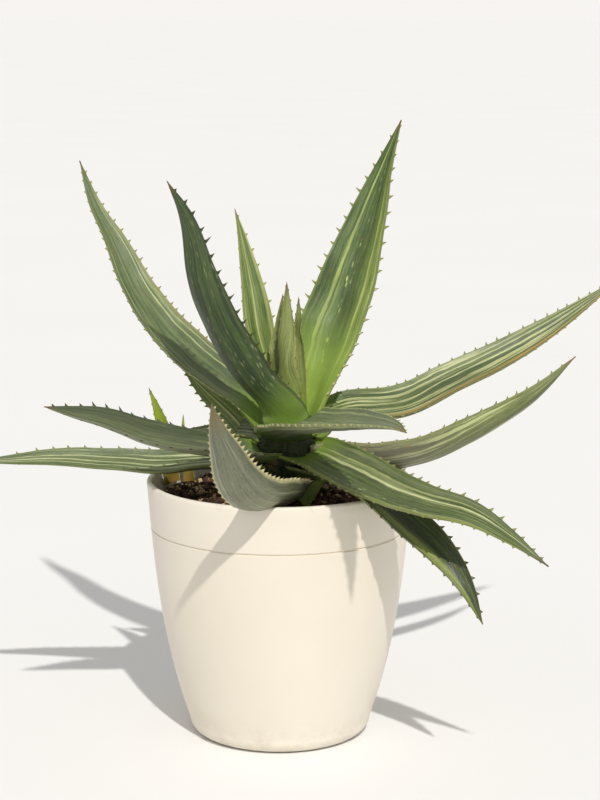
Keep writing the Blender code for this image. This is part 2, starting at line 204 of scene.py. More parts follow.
# From the heart of the rosette outwards.
LEAVES = {
    "bud_front_leaf": Leaf(13, 0.34, 0.26, [
        (5, -2, 171, 10), (5, -3, 190, 5), (4, -4, 208, 0), (4, -5, 226, 0), (4, -6, 242, 0)],
        teeth=(0.7, 5), look=BUD),
    "bud_left_leaf": Leaf(11, 0.34, 0.30, [
        (2, 4, 173, -30), (0, 6, 190, -20), (-1, 7, 207, -10), (0, 8, 221, 0), (2, 9, 234, 0)],
        teeth=(0.7, 5), look=BUD),
    "bud_right_leaf": Leaf(10, 0.34, 0.30, [
        (9, 3, 173, 0), (9, 5, 190, 5), (9, 7, 207, 10), (10, 8, 221, 5), (10, 9, 232, 0)],
        teeth=(0.7, 5), look=BUD),
    "slim_back_leaf": Leaf(18, 0.30, 0.26, [
        (2, 10, 177, -28), (-1, 12, 188, -28), (-9, 16, 209, -10), (-15, 24, 239, -15),
        (-21, 31, 265, -10), (-24, 33, 276, -10)],
        teeth=(2.0, 9), margins=(0.3, 1), look=Look(
            body=tint(132, 152, 74), shade=tint(84, 110, 42), stripes=0.35,
            lines=((0.05, 0.09, 1.0, tint(196, 204, 136)), (-0.85, 0.12, 0.7, tint(202, 200, 128)),
                   (0.8, 0.1, 0.6, None)),
            edge=tint(190, 190, 120), edge_strength=0.6, heart_reach=0.4, spots=0.0)),
    "tall_right_leaf": Leaf(35, 0.42, 0.20, [
        (11, 4, 171, 0), (19, 10, 195, 12), (27, 17, 216, 26), (35, 24, 236, 31), (42, 31, 257, 28),
        (48, 36, 275, 24), (54, 41, 293, 16), (65, 48, 322, 12)],
        base=0.8, taper=1.6, fold=1.3, teeth=(3.1, 8.3), margins=(1, 0.85), look=Look(
            body=tint(102, 126, 58), shade=tint(56, 82, 34), pale=tint(192, 206, 120), stripes=0.25,
            lines=((0.45, 0.07, 0.6, None), (-0.72, 0.34, 0.7, tint(150, 170, 82)), (-0.6, 0.04, 0.6, None),
                   (-0.5, 0.05, 0.5, DARK), (-0.74, 0.03, 0.55, DARK), (-0.9, 0.05, 0.5, None),
                   # The dark line at -0.14 is painted shade in the bottom of the V channel.
                   (-0.14, 0.2, 0.7, DARK), (0.85, 0.12, 0.5, DARK)),
            flecks=(0.9, 0.03, 0.12), heart=tint(168, 198, 88), heart_reach=0.42)),
    "upright_left_leaf": Leaf(22, 0.34, 0.24, [
        (4, -9, 168, 60), (1, -11, 177, 50), (-14, -15, 196, 44), (-29, -23, 223, 36),
        (-38, -30, 246, 44), (-46, -40, 279, 52), (-55, -45, 297, 52)],
        taper=1.8, teeth=(3.2, 8.2), margins=(1, 0), look=Look(
            # Its dark underside colours are painted shade on the face turned away from the sun.
            under=tint(68, 92, 42), under_shade=tint(38, 58, 24), body=tint(90, 112, 54), under_flecks=0.32,
            stripes=0.3, under_stripes=0.06, heart=tint(124, 152, 62), heart_reach=0.2, tooth_tip=DARK_TEETH,
            tooth_base=tint(66, 70, 34), edge=tint(44, 54, 24), edge_strength=0.6, bloom=0.06)),
    "upper_left_leaf": Leaf(26, 0.26, 0.24, [
        (-3, 2, 169, -25), (-12, 6, 178, -25), (-30, 13, 189, -23), (-58, 31, 210, -22),
        (-76, 47, 231, -16), (-91, 64, 257, -16), (-102, 73, 275, -20), (-111, 82, 298, -20)],
        teeth=(2.2, 6.2), margins=(0.6, 1), look=Look(
            body=tint(112, 130, 74), shade=tint(68, 92, 46), stripes=0.25, stripe_count=9,
            lines=((-0.58, 0.05, 0.7, None), (-0.8, 0.04, 0.6, None), (0.78, 0.04, 0.6, None),
                   (-0.95, 0.08, 0.6, tint(148, 120, 76))), bloom=0.22)),
    "short_front_leaf": Leaf(29, 0.24, 0.26, [
        (4, -8, 166, 5), (5, -20, 171, 8), (9, -36, 176, 12), (19, -61, 181, 12), (32, -87, 186, 14),
        (45, -115, 190, 15), (54, -137, 192, 15), (59, -155, 192, 15)],
        base=1.2, teeth=(1.9, 6.2), look=Look(
            body=tint(112, 124, 88), shade=tint(74, 92, 56), stripes=0.45, stripe_count=9, bloom=0.35,
            lines=((-0.88, 0.07, 0.8, tint(176, 184, 132)),), under=tint(96, 104, 80),
            under_shade=tint(66, 76, 52), edge=tint(176, 184, 128), edge_strength=0.7,
            tip=tint(132, 110, 52), tip_reach=0.12, heart=tint(70, 92, 38), heart_reach=0.2,
            tooth_base=tint(156, 158, 104))),
    "upper_right_leaf": Leaf(26, 0.26, 0.26, [
        (12, 4, 163, 20), (20, 11, 167, 20), (37, 16, 172, 25), (66, 25, 174, 25), (93, 34, 185, 28),
        (120, 43, 196, 38), (146, 52, 209, 50), (169, 59, 223, 55), (188, 64, 236, 55)],
        teeth=(2.2, 7.2), margins=(1, 0.35), look=Look(
            body=tint(112, 128, 72), shade=tint(58, 80, 38), pale=tint(200, 204, 148), stripes=0.8,
            stripe_count=5, lines=((0.55, 0.07, 0.8, None), (0.2, 0.06, 0.8, None), (-0.2, 0.05, 0.7, None),
                                   (-0.05, 0.08, 0.6, DARK), (-0.78, 0.12, 0.85, DRY),
                                   (-0.97, 0.08, 0.8, tint(110, 84, 60))))),
    "rear_left_leaf": Leaf(22, 0.28, 0.28, [
        (1, 8, 158, 0), (-6, 24, 161, 0), (-16, 44, 161, 0), (-30, 76, 152, 0), (-40, 102, 136, 0)],
        look=Look(lines=((0.3, 0.06, 0.8, None),))),
    "rear_right_leaf": Leaf(24, 0.28, 0.28, [
        (8, 7, 155, 0), (16, 24, 160, 0), (26, 48, 163, 0), (37, 82, 160, 0), (46, 116, 148, 0)],
        look=STRIPED),
    "front_right_leaf": Leaf(27, 0.26, 0.26, [
        (9, -6, 155, 10), (17, -15, 155, 18), (33, -39, 152, 27), (51, -64, 148, 28),
        (71, -87, 145, 35), (93, -103, 142, 48), (110, -115, 134, 60), (128, -127, 122, 55)],
        teeth=(2.4, 7.2), margins=(1, 0.5), look=Look(
            body=tint(106, 122, 68), shade=tint(64, 84, 40), stripes=0.35, stripe_count=7,
            flecks=(0.8, -0.75, 0.3),
            lines=((0.22, 0.08, 1.0, tint(206, 212, 160)), (0.5, 0.05, 0.6, None),
                   (0.75, 0.22, 0.5, tint(134, 142, 104)), (-0.9, 0.12, 0.6, tint(164, 172, 78))),
            tip=tint(74, 54, 34), spots=0.7)),
    "striped_left_leaf": Leaf(20, 0.24, 0.28, [
        (-2, 4, 157, -8), (-9, 9, 160, -10), (-20, 15, 161, -20), (-38, 26, 156, -27),
        (-54, 35, 153, -27), (-68, 42, 151, -27)],
        teeth=(1.3, 6), look=STRIPED),
    "back_left_leaf": Leaf(18, 0.28, 0.28, [
        (0, 8, 150, 0), (-13, 14, 155, -5), (-24, 22, 165, -15), (-36, 31, 174, -35),
        (-45, 38, 181, -48), (-54, 44, 190, -50)],
        teeth=(2.0, 6), look=Look(
            # Its pale body colours are painted light: they are brightened to look sunlit where the leaf above
            # shades it.
            body=tint(158, 176, 96), shade=tint(112, 136, 64), under=tint(140, 156, 92),
            lines=((0.0, 0.1, 0.9, tint(214, 220, 156)),))),
    "lower_right_leaf": Leaf(24, 0.26, 0.30, [
        (12, 0, 149, -30), (22, 4, 149, -37), (49, 8, 147, -42), (75, 19, 148, -50),
        (96, 28, 154, -65), (120, 38, 164, -74), (138, 47, 173, -85), (163, 60, 192, -85)],
        teeth=(2.1, 8.2), margins=(0.2, 1), look=Look(
            under=tint(122, 132, 72), under_shade=tint(80, 92, 48), under_stripes=0.8, stripe_count=6,
            body=tint(112, 126, 72), heart=tint(112, 106, 92), heart_reach=0.72, tip=tint(124, 74, 58),
            tip_reach=0.06, under_flecks=0.1, lines=((0.35, 0.1, 0.5, DARK),))),
    "left_leaf": Leaf(22, 0.28, 0.34, [
        (-3, -4, 154, -10), (-14, -16, 157, -12), (-35, -32, 163, -15), (-64, -48, 171, -34),
        (-86, -62, 181, -48), (-102, -72, 186, -55), (-114, -80, 190, -55)],
        taper=2.0, teeth=(2.6, 8.6), margins=(0.2, 1), look=Look(
            body=tint(92, 104, 66), shade=tint(60, 74, 42), under=tint(112, 118, 92), stripes=0.25,
            under_shade=tint(78, 88, 60), bloom=0.25, tooth_tip=DARK_TEETH, tooth_base=tint(60, 66, 34),
            lines=((-0.75, 0.55, 0.9, DARK), (0.9, 0.25, 0.5, tint(146, 150, 124))), edge_strength=0.1)),
    "low_left_leaf": Leaf(20, 0.24, 0.28, [
        (-3, -1, 146, -10), (-14, -4, 148, -12), (-39, -6, 149, -14), (-60, -6, 147, -27),
        (-86, -6, 148, -32), (-115, -5, 149, -45), (-147, -4, 147, -60), (-163, -3, 146, -60)],
        teeth=(2.0, 9), margins=(0.15, 1), look=STRIPED),
    "drooping_leaf": Leaf(22, 0.28, 0.26, [
        (10, -6, 146, 0), (20, -17, 147, 5), (33, -36, 147, 5), (47, -54, 143, 8), (67, -71, 129, 30),
        (82, -83, 116, 52), (91, -90, 104, 52), (100, -98, 85, 45)],
        taper=2.4, teeth=(2.2, 7), margins=(1, 0.5), look=Look(
            body=tint(74, 90, 36), shade=tint(38, 52, 20), pale=tint(176, 186, 92), stripes=0.3,
            # The dark band over the half from 0 to 1 is painted shade on that half of the blade.
            lines=((-0.62, 0.34, 0.75, tint(138, 152, 66)), (0.5, 0.5, 0.5, DARK)), stripe_count=4,
            tooth_tip=DARK_TEETH, tooth_base=tint(80, 68, 36), spots=0.8, bloom=0.05,
            tip=tint(96, 84, 40), heart=tint(60, 78, 30))),
    "curled_front_leaf": Leaf(27, 0.28, 0.24, [
        (5, -11, 138, 5), (6, -25, 138, 12), (3, -42, 139, 28), (-3, -58, 142, 34),
        (-12, -82, 148, 35), (-20, -106, 162, 30), (-24, -127, 178, 25), (-27, -144, 192, 20),
        (-29, -158, 206, 20)],
        base=0.55, taper=2.0, teeth=(2.4, 5.6), margins=(1, 0.45), look=GLAUCOUS),
    "left_pup_tall_leaf": Leaf(10, 0.24, 0.30, [
        (-58, 24, 128.5, -90), (-59, 23, 142, -95), (-61, 22, 153, -100), (-65, 20, 168, -95),
        (-70, 19, 182, -95)],
        teeth=(0.5, 6), look=PUP),
    "left_pup_short_leaf": Leaf(6, 0.24, 0.40, [
        (-49, 27, 128.7, -60), (-50, 28, 142, -60), (-52, 28, 155, -60), (-52, 27, 166, -60)],
        teeth=(0.4, 6), look=PUP),
    "front_pup_leaf": Leaf(6, 0.24, 0.40, [
        (12, -37, 131.5, 50), (15, -34, 134, 52), (18, -32, 138, 55), (27, -28, 146, 57)],
        teeth=(0.4, 6), look=PUP._replace(
            body=tint(104, 122, 48), under=tint(96, 114, 44), heart=tint(106, 122, 52))),
}

# A tooth's shape: how far out, and how wide and thick, each ring of it is, by its height mark.
TOOTH_MARKS = (0.4, 0.75, 1.0)
TOOTH_OUT = (0.3, 0.62, 1.0)
TOOTH_WIDE = (0.66, 0.34, 1.0)
TOOTH_HOOK = 0.42
TOOTH_LIFT = 0.15
FIRST_TOOTH = 0.08
LAST_TOOTH = 0.985
DRAW_IN = 0.1 * MM
DRAW_OUT = 0.5 * MM

# Light and view: the sun in watts per square metre, angles in degrees, the lens in mm.
SUN_FROM = Vector((0.205, -0.93, 1.0))
SUN_STRENGTH = 2.5
SUN_WIDTH = 1.2
SUN_COLOUR = (1.0, 0.97, 0.92)
SKY_STRENGTH = 0.52
SKY_COLOUR = (1.0, 0.985, 0.965, 1)
BACKDROP_COLOUR = (0.93, 0.905, 0.88, 1)
FLOOR_SIZE = 120
CAMERA_AT = (0.0108, -1.093, 0.381)
CAMERA_TILT = 79.5
LENS = 95.4
SENSOR = 36


# Node patterns.


def add_node(tree, kind, values=(), out=0, **settings):
    """Adds a node, fills its sockets in order (None skips one), and returns an output."""
    made = tree.nodes.new(kind)
    for key, value in settings.items():
        setattr(made, key, value)
    for socket, value in zip(made.inputs, values):
        if isinstance(value, bpy.types.NodeSocket):
            tree.links.new(value, socket)
        elif value is not None:
            socket.default_value = value
    return made.outputs[out]


def maths(tree, operation, *values):
    return add_node(tree, "ShaderNodeMath", values, operation=operation)


def mix_value(tree, share, one, other):
    return add_node(tree, "ShaderNodeMix", (share, None, one, other), data_type="FLOAT")


def mix_colour(tree, share, one, other, blend="MIX"):
    one, other = [(*c, 1) if isinstance(c, tuple) else c for c in (one, other)]
    values = (share, None, None, None, None, None, one, other)
    return add_node(tree, "ShaderNodeMix", values, out=2, data_type="RGBA", blend_type=blend)


def rise(tree, value, low, high):
    """Goes smoothly from 0 at low to 1 at high."""
    return add_node(tree, "ShaderNodeMapRange", (value, low, high, 0.0, 1.0), interpolation_type="SMOOTHSTEP")


def clouds(tree, place, scale=1.0, detail=2.0, roughness=0.5):
    return add_node(tree, "ShaderNodeTexNoise", (place, None, scale, detail, roughness))


def new_material(name, roughness, specular=0.4):
    made = bpy.data.materials.new(name)
    made.use_nodes = True
    shader = made.node_tree.nodes["Principled BSDF"]
    shader.inputs["Roughness"].default_value = roughness
    shader.inputs["Specular IOR Level"].default_value = specular
    return made, made.node_tree, shader


def add_bump(tree, shader, height, strength, distance):
    bump = add_node(tree, "ShaderNodeBump", (strength, distance, None, height))
    tree.links.new(bump, shader.inputs["Normal"])


class BladePlaces(NamedTuple):
    """Where a point lies on a blade: along in metres, across from -1 to 1, upper 1 or lower 0."""

    tree: object
    along: object
    across: object
    side: object
    reach: object
    tooth: object

    def spot(self, along_scale, across_scale, seed):
        """The point as a pattern's coordinates, apart on the blade's two faces."""
        depth = maths(self.tree, "MULTIPLY_ADD", self.side, 7.3, seed)
        values = (
            maths(self.tree, "MULTIPLY", self.along, along_scale),
            maths(self.tree, "MULTIPLY", self.across, across_scale),
            depth,
        )
        return add_node(self.tree, "ShaderNodeCombineXYZ", values)


def blade_places(tree, seed):
    blade = add_node(tree, "ShaderNodeAttribute", out=1, attribute_name="blade")
    split = tree.nodes.new("ShaderNodeSeparateXYZ")
    tree.links.new(blade, split.inputs[0])
    along, across, side = split.outputs
    reach = add_node(tree, "ShaderNodeAttribute", out=2, attribute_name="reach")
    tooth = add_node(tree, "ShaderNodeAttribute", out=2, attribute_name="tooth")
    plain = BladePlaces(tree, along, across, side, reach, tooth)
    drift = clouds(tree, plain.spot(22, 1.2, seed), detail=1)
    jitter = clouds(tree, plain.spot(90, 9, seed + 13), detail=3)
    sway = maths(tree, "MULTIPLY_ADD", drift, 0.2, maths(tree, "MULTIPLY", jitter, 0.12))
    wavy = maths(tree, "ADD", across, maths(tree, "SUBTRACT", sway, 0.16))
    return plain._replace(across=wavy), across


def leaf_finish(name, look, seed):
    """Green skin with pale stripes, flecks, dry spots, a pale margin, and teeth that darken outwards."""
    made, tree, shader = new_material(name, 0.42, 0.45)
    at, true_across = blade_places(tree, seed)
    grain = clouds(tree, at.spot(45, 26, seed + 1), detail=3)
    broad = clouds(tree, at.spot(16, 2.6, seed + 2), detail=2)
    streaks = clouds(tree, at.spot(11, 9, seed + 11), detail=4, roughness=0.68)
    tone = rise(tree, mix_value(tree, 0.35, streaks, broad), 0.4, 0.6)
    upper = mix_colour(tree, tone, look.shade, look.body)
    lower = mix_colour(tree, tone, look.under_shade, look.under)
    colour = mix_colour(tree, at.side, lower, upper)
    fine = rise(tree, clouds(tree, at.spot(150, 30, seed + 12), detail=4, roughness=0.75), 0.4, 0.62)
    pores = mix_colour(tree, fine, tint(178, 184, 166), tint(255, 255, 250))
    colour = mix_colour(tree, 0.7, colour, pores, "MULTIPLY")

    stripe = leaf_stripes(tree, at, look, seed)
    colour = mix_colour(tree, stripe, colour, look.pale)
    patches = clouds(tree, at.spot(42, 7, seed + 9), detail=5, roughness=0.7)
    worn = maths(tree, "MULTIPLY_ADD", patches, 2.6, -0.55)
    # Most lines are the leaves' own stripes; the dark ones marked in LEAVES are painted shade.
    for place, half, strength, hue in look.lines:
        away = maths(tree, "ABSOLUTE", maths(tree, "SUBTRACT", at.across, place))
        line = maths(tree, "MULTIPLY", rise(tree, away, half, half * 0.4), strength)
        line = add_node(tree, "ShaderNodeMath", (line, worn), operation="MULTIPLY", use_clamp=True)
        colour = mix_colour(tree, line, colour, hue or look.pale)
    colour = mix_colour(tree, leaf_flecks(tree, at, look, seed), colour, look.pale)

    bloom = maths(tree, "MULTIPLY", clouds(tree, at.spot(60, 5, seed + 7), detail=4), look.bloom)
    colour = mix_colour(tree, bloom, colour, tint(160, 164, 142))
    # The heart is the base's own colour, except on the curled front leaf, where it is painted shade.
    heart = rise(tree, at.reach, look.heart_reach, 0.02)
    colour = mix_colour(tree, maths(tree, "MULTIPLY", heart, 0.85), colour, look.heart)
    rim = rise(tree, maths(tree, "ABSOLUTE", true_across), 0.93, 0.985)
    colour = mix_colour(tree, maths(tree, "MULTIPLY", rim, look.edge_strength), colour, look.edge)

    dry = clouds(tree, at.spot(120, 4.2, seed + 8), detail=3)
    spot = maths(tree, "MULTIPLY", rise(tree, dry, 0.69, 0.73), look.spots)
    colour = mix_colour(tree, spot, colour, tint(146, 98, 60))
    ragged = maths(tree, "MULTIPLY_ADD", grain, 0.05, at.reach)
    tip = rise(tree, ragged, 1.01 - look.tip_reach, 1.035)
    colour = mix_colour(tree, tip, colour, look.tip)
    young = mix_colour(tree, maths(tree, "MULTIPLY", heart, 0.8), look.tooth_base, CREAM)
    thorn = mix_colour(tree, rise(tree, at.tooth, 0.45, 0.95), young, look.tooth_tip)
    colour = mix_colour(tree, rise(tree, at.tooth, 0.05, 0.4), colour, thorn)
    tree.links.new(colour, shader.inputs["Base Color"])

    waxy = maths(tree, "MULTIPLY_ADD", broad, 0.25, 0.27)
    tree.links.new(maths(tree, "MULTIPLY_ADD", spot, 0.3, waxy), shader.inputs["Roughness"])
    raised = maths(tree, "MULTIPLY", grain, 0.9)
    relief = maths(tree, "SUBTRACT", raised, maths(tree, "MULTIPLY", stripe, 0.25))
    add_bump(tree, shader, relief, 0.6, 0.4 * MM)
    shader.inputs["Subsurface Weight"].default_value = 0.1
    shader.inputs["Subsurface Radius"].default_value = (0.6, 1.0, 0.25)
    shader.inputs["Subsurface Scale"].default_value = 1.2 * MM
    return made


def leaf_stripes(tree, at, look, seed):
    """Long pale stripes of uneven width, gathered in groups and broken along their length."""
    band = clouds(tree, at.spot(6, look.stripe_count, seed + 3), detail=2.5, roughness=0.6)
    group = clouds(tree, at.spot(9, 2.2, seed + 10), detail=1)
    uneven = maths(tree, "MULTIPLY_ADD", group, 0.28, band)
    fade = rise(tree, clouds(tree, at.spot(20, 3, seed + 4)), 0.3, 0.58)
    stripe = maths(tree, "MULTIPLY", rise(tree, uneven, 0.665, 0.75), fade)
    share = mix_value(tree, at.side, look.under_stripes, look.stripes)
    return maths(tree, "MULTIPLY", stripe, share)


def leaf_flecks(tree, at, look, seed):
    """Short pale dashes in rows: all over the underside, and in one band of the upper face."""
    cells = add_node(tree, "ShaderNodeTexVoronoi", (at.spot(150, 10, seed + 5), None, 1.0))
    dash = rise(tree, cells, 0.34, 0.1)
    strength, place, half = look.flecks
    away = maths(tree, "ABSOLUTE", maths(tree, "SUBTRACT", at.across, place))
    banded = maths(tree, "MULTIPLY", rise(tree, away, half * 1.3, half * 0.6), strength)
    amount = mix_value(tree, at.side, look.under_flecks, banded)
    patchy = rise(tree, clouds(tree, at.spot(35, 3, seed + 6)), 0.38, 0.6)
    return maths(tree, "MULTIPLY", maths(tree, "MULTIPLY", dash, amount), patchy)


# Modelling.


def deselect_all():
    if bpy.context.mode != "OBJECT":
        bpy.ops.object.mode_set(mode="OBJECT")
    bpy.ops.object.select_all(action="DESELECT")


def edit(thing, kind="VERT"):
    """Opens a piece alone in edit mode."""
    deselect_all()
    bpy.context.view_layer.objects.active = thing
    thing.select_set(True)
    bpy.ops.object.mode_set(mode="EDIT")
    bpy.ops.mesh.select_mode(type=kind)


def close_edit():
    bpy.ops.object.mode_set(mode="OBJECT")


def read_places(mesh):
    places = np.empty(len(mesh.vertices) * 3, np.float32)
    mesh.vertices.foreach_get("co", places)
    return places.reshape(-1, 3).astype(float)


def write_places(mesh, places):
    mesh.vertices.foreach_set("co", places.astype(np.float32).ravel())
    mesh.update()


def read_values(mesh, name, size=1):
    values = np.empty(len(mesh.vertices) * size, np.float32)
    mesh.attributes[name].data.foreach_get("value" if size == 1 else "vector", values)
    return values.astype(float) if size == 1 else values.reshape(-1, size).astype(float)


def write_values(mesh, name, values, kind="FLOAT"):
    if name not in mesh.attributes:
        mesh.attributes.new(name, kind, "POINT")
    field = "value" if kind == "FLOAT" else "vector"
    mesh.attributes[name].data.foreach_set(field, np.asarray(values, np.float32).ravel())


def clean(thing, merge=1e-6):
    """Welds doubles and turns every face outwards."""
    edit(thing)
    bpy.ops.mesh.select_all(action="SELECT")
    bpy.ops.mesh.remove_doubles(threshold=merge)
    bpy.ops.mesh.normals_make_consistent(inside=False)
    close_edit()


def apply_modifier(thing, name):
    deselect_all()
    bpy.context.view_layer.objects.active = thing
    thing.select_set(True)
    bpy.ops.object.modifier_apply(modifier=name)


def shade(thing, angle=45):
    deselect_all()
    bpy.context.view_layer.objects.active = thing
    thing.select_set(True)
    bpy.ops.object.shade_smooth_by_angle(angle=math.radians(angle))


def dress(thing, name, finish):
    thing.name = thing.data.name = name
    thing.data.materials.clear()
    thing.data.materials.append(finish)


# Leaves.


def width_share(leaf, reach):
    """The blade's width at a share of its length, as a share of its widest width."""
    low = leaf.base + (1 - leaf.base) * np.sin(np.pi / 2 * np.clip(reach / WIDEST_AT, 0, 1))
    high = 1 - np.clip((reach - WIDEST_AT) / (1 - WIDEST_AT), 0, 1) ** leaf.taper
    share = np.where(reach < WIDEST_AT, low, np.maximum(TIP_SHARE, high))
    return np.where(reach > 1 - 1e-4, 0, share)


def section():
    """The points round a blade's section: across, from 1 to -1, and upper 1 or lower 0."""
    steps = [math.sin(math.pi / 2 * (1 - 2 * i / HALF_STEPS)) for i in range(HALF_STEPS + 1)]
    middle = HALF_STEPS // 2
    lower = [(a, 0) for a in reversed(steps)]
    upper = [(a, 1) for a in steps]
    return np.array(lower[middle:] + upper + lower[: middle + 1])


def blade_blank(leaf, length, seed):
    """A straight blade along X: a grid rolled round the crescent section and welded along its keel."""
    rings = round(length / RING_PITCH)
    outline = section()
    deselect_all()
    bpy.ops.mesh.primitive_grid_add(x_subdivisions=rings, y_subdivisions=len(outline) - 1, size=1)
    blank = bpy.context.object
    mesh = blank.data
    sheet = read_places(mesh)
    reach = sheet[:, 0] + 0.5
    across, side = outline[np.rint((sheet[:, 1] + 0.5) * (len(outline) - 1)).astype(int)].T
    half = leaf.width / 2 * MM * width_share(leaf, reach)
    edge = np.minimum(EDGE_HALF + EDGE_SHARE * half, 0.3 * half)
    spread = np.abs(across)
    top = -leaf.channel * half * (1 - spread**leaf.fold) + edge
    keel = -(leaf.channel + leaf.thickness) * half * (1 - spread**KEEL_FOLD) - edge
    places = np.stack([reach * length, across * half, np.where(side > 0.5, top, keel)], axis=1)
    ripple = [noise.noise(Vector((x * 70, y * 60, seed))) for x, y, z in places]
    places[:, 2] += np.array(ripple) * RIPPLE_SHARE * half
    write_places(mesh, places)
    write_values(mesh, "blade", np.stack([places[:, 0], across, side], axis=1), "FLOAT_VECTOR")
    write_values(mesh, "reach", reach)
    write_values(mesh, "tooth", np.zeros(len(reach)))
    clean(blank)
    edit(blank)
    bpy.ops.mesh.select_all(action="DESELECT")
    bpy.ops.mesh.select_non_manifold()
    bpy.ops.mesh.edge_face_add()
    bpy.ops.mesh.select_all(action="SELECT")
    bpy.ops.mesh.normals_make_consistent(inside=False)
    close_edit()
    return blank


def tooth_places(leaf, length, rng):
    """Where the teeth stand along a margin: closer together towards the root."""
    at, found = length * FIRST_TOOTH, []
    while at < length * LAST_TOOTH:
        found.append(at)
        closeness = min(1, 0.55 + 1.3 * at / length)
        at += leaf.teeth[1] * MM * closeness * rng.uniform(0.82, 1.18)
    return np.array(found)


def margin_faces(mesh, leaf, length, rng):
    """The faces of the margins' edge strips that lie at a tooth."""
    blade = read_values(mesh, "blade", 3)
    teeth = {margin: tooth_places(leaf, length, rng) for margin in (1, -1)}
    sizes = dict(zip((1, -1), leaf.margins))
    chosen = np.zeros(len(mesh.polygons), bool)
    for number, face in enumerate(mesh.polygons):
        corners = blade[list(face.vertices)]
        if len(corners) != 4 or np.abs(corners[:, 1]).min() < 0.999:
            continue
        margin = 1 if corners[0, 1] > 0 else -1
        if sizes[margin]:
            chosen[number] = np.abs(teeth[margin] - corners[:, 0].mean()).min() < RING_PITCH
    return chosen


def grow_teeth(blank, leaf, length, seed):
    """Draws each tooth out of the margin in two steps and closes it to a point."""
    mesh = blank.data
    chosen = margin_faces(mesh, leaf, length, random.Random(seed))
    edit(blank, "FACE")
    bpy.ops.mesh.select_all(action="DESELECT")
    close_edit()
    mesh.polygons.foreach_set("select", chosen)
    for mark in TOOTH_MARKS[:2]:
        edit(blank, "FACE")
        bpy.ops.mesh.inset(thickness=DRAW_IN, depth=DRAW_OUT, use_even_offset=False)
        close_edit()
        mark_teeth(mesh, mark)
    edit(blank)
    bpy.ops.mesh.merge(type="COLLAPSE")
    close_edit()
    mark_teeth(mesh, TOOTH_MARKS[2])
    shape_teeth(mesh, leaf, length, seed)


def mark_teeth(mesh, height):
    """Notes on the drawn-out points how far up their tooth they are."""
    picked = np.zeros(len(mesh.vertices), bool)
    mesh.vertices.foreach_get("select", picked)
    tooth = read_values(mesh, "tooth")
    tooth[picked] = height
    write_values(mesh, "tooth", tooth)


def shape_teeth(mesh, leaf, length, seed):
    """Narrows each tooth to its point, hooks it towards the tip, and sizes it by where it stands."""
    first = read_places(mesh)
    places = first.copy()
    tooth = read_values(mesh, "tooth")
    points = np.flatnonzero(tooth > 0.99)
    sizes = {1: leaf.margins[0], -1: leaf.margins[1]}
    for number in np.flatnonzero(tooth > 0):
        x, y, z = first[number]
        margin = 1 if y > 0 else -1
        own = [p for p in points if first[p, 1] * margin > 0]
        point = first[min(own, key=lambda p: abs(first[p, 0] - x))]
        reach = min(point[0] / length, 0.9999)
        half = leaf.width / 2 * MM * float(width_share(leaf, np.array([min(x / length, 0.9999)]))[0])
        place_luck = noise.noise(Vector((point[0] * 190, margin * 5.0, seed)))
        size = min(1, 0.6 + 2 * reach) * min(1, 0.45 + 2.4 * (1 - reach)) * (0.95 + 0.4 * place_luck)
        size *= leaf.teeth[0] * MM * sizes[margin]
        out, wide = (float(np.interp(tooth[number], TOOTH_MARKS, row)) for row in (TOOTH_OUT, TOOTH_WIDE))
        places[number] = (
            point[0] + (x - point[0]) * wide + TOOTH_HOOK * tooth[number] ** 2 * size,
            margin * (half + out * size),
            point[2] + (z - point[2]) * wide + TOOTH_LIFT * tooth[number] ** 2 * size,
        )
    write_places(mesh, places)


def route_curve(leaf):
    """The leaf's route, level from side to side except for its turns."""
    curve = bpy.data.curves.new("route", "CURVE")
    curve.dimensions = "3D"
    curve.twist_mode = "Z_UP"
    curve.resolution_u = 16
    spline = curve.splines.new("BEZIER")
    spline.bezier_points.add(len(leaf.route) - 1)
    for point, (x, y, z, turn) in zip(spline.bezier_points, leaf.route):
        point.co = (x * MM, y * MM, z * MM)
        point.handle_left_type = point.handle_right_type = "AUTO"
        point.tilt = math.radians(turn)
    guide = bpy.data.objects.new("route", curve)
    bpy.context.scene.collection.objects.link(guide)
    return guide, spline.calc_length()


def make_leaf(node, leaf, seed):
    guide, length = route_curve(leaf)
    blank = blade_blank(leaf, length, seed)
    grow_teeth(blank, leaf, length, seed)
    bend = blank.modifiers.new("bend", "CURVE")
    bend.object = guide
    bend.deform_axis = "POS_X"
    apply_modifier(blank, "bend")
    bpy.data.objects.remove(guide)
    clean(blank)
    shade(blank, 50)
    dress(blank, f"{node}_blade", leaf_finish(f"{node}_skin", leaf.look, seed))
    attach(blank, "root")
    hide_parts(node)


# Pot, soil and stem.


def arc(centre, radius, start, end, points):
    """Points of an arc in the profile plane, with its angles in degrees."""
    turns = [math.radians(start + (end - start) * i / (points - 1)) for i in range(points)]
    return [(centre[0] + radius * math.cos(t), centre[1] + radius * math.sin(t)) for t in turns]


def wall_radius(z):
    """The outer radius of the pot's wall at a height."""
    drop = POT_HEIGHT - z
    return RIM_RADIUS - WALL_LEAN * drop - WALL_BOW * drop**3


def turn_profile(profile, segments):
    """A solid of revolution: a circle drawn down and resized from ring to ring, closed at both ends."""
    deselect_all()
    radius, height = profile[0]
    bpy.ops.mesh.primitive_circle_add(
        vertices=segments, radius=radius, fill_type="NGON", location=(0, 0, height))
    bpy.ops.object.transform_apply(location=True, rotation=False, scale=False)
    made = bpy.context.object
    edit(made, "EDGE")
    bpy.ops.mesh.select_all(action="SELECT")
    bpy.ops.mesh.delete(type="ONLY_FACE")
    bpy.ops.mesh.select_all(action="SELECT")
    bpy.ops.mesh.edge_face_add()
    bpy.ops.mesh.select_all(action="SELECT")
    for (r0, z0), (r1, z1) in zip(profile, profile[1:]):
        bpy.ops.mesh.extrude_region_move(TRANSFORM_OT_translate={"value": (0, 0, z1 - z0)})
        bpy.ops.transform.resize(value=(r1 / r0, r1 / r0, 1), center_override=(0, 0, z1))
    close_edit()
    clean(made)
    return made


